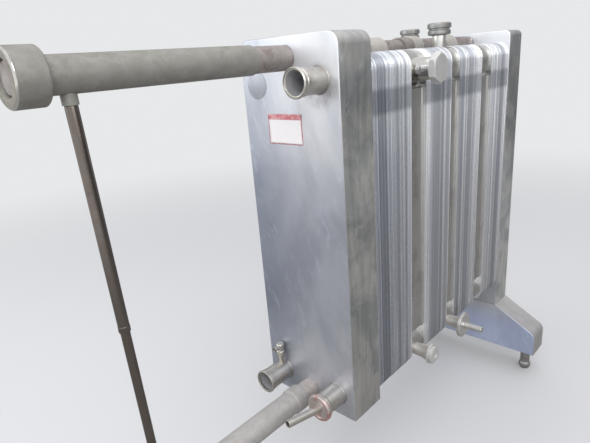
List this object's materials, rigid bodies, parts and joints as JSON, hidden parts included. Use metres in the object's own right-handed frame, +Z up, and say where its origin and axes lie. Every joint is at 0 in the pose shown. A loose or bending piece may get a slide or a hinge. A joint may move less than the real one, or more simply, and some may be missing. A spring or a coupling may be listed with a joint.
{
  "type": "plate heat exchanger",
  "caption": "Gasketed plate heat exchanger on a clad frame with splayed feet, round bars, spacer sleeves, connection grids and threaded unions.",
  "frame": {"origin": "middle of the overall box, on the floor", "axes": "+X along the bars from the fixed frame plate towards the support leg, +Y towards the side with the side outlets, +Z up"},
  "size_m": [2.013, 0.744, 1.607],
  "materials": {
    "cladding": "worn stainless sheet cladding with wiped streaks",
    "bar_steel": "stained steel bar",
    "sleeve_steel": "dull grey steel with fine stains",
    "polished_tube": "polished stainless tube",
    "foot_steel": "dull steel",
    "fitting_steel": "satin stainless fitting",
    "stained_clamp": "steel with pink rust stain",
    "pressed_plates": "bright pressed stainless plate edges",
    "cast_grid": "cream grey casting",
    "cast_outlet": "pale satin fitting"
  },
  "bodies": {
    "root": {"frame_plate": "cladding", "frame_base": "cladding", "left_foot": "foot_steel", "right_foot": "foot_steel", "top_bar": "bar_steel", "bottom_bar": "bar_steel", "bar_end_nuts": "fitting_steel", "top_sleeve": "sleeve_steel", "bottom_sleeve": "sleeve_steel", "top_tightening_nut": "sleeve_steel", "bottom_tightening_nut": "sleeve_steel", "leg_saddle": "fitting_steel", "leg_tube": "polished_tube", "leg_rod": "polished_tube", "leg_foot": "foot_steel", "pressure_plate": "cladding", "blank_port_cover": "cladding", "top_nozzle": "fitting_steel", "lower_left_nozzle": "fitting_steel", "sample_tap": "fitting_steel", "lower_right_nozzle": "fitting_steel", "lower_right_clamp": "stained_clamp", "lower_right_drain": "fitting_steel", "plate_section_1": "pressed_plates", "plate_section_2": "pressed_plates", "plate_section_3": "pressed_plates", "plate_section_4": "pressed_plates", "grid_1": "cast_grid", "grid_2": "cast_grid", "grid_3": "cast_grid", "grid_1_corner_blocks": "cast_grid", "grid_2_corner_blocks": "cast_grid", "grid_3_corner_blocks": "cast_grid", "grid_hangers": "cast_grid", "grid_1_side_outlet": "fitting_steel", "grid_1_blind_nut": "fitting_steel", "grid_1_bottom_outlet": "cast_outlet", "grid_1_bottom_cap": "fitting_steel", "grid_2_riser": "polished_tube", "grid_2_riser_union": "fitting_steel", "grid_2_bottom_outlet": "cast_outlet", "grid_2_bottom_clamp": "fitting_steel", "grid_2_drain_pipe": "fitting_steel", "grid_3_riser": "fitting_steel", "grid_3_vent_plug": "fitting_steel"}
  },
  "joints": []
}
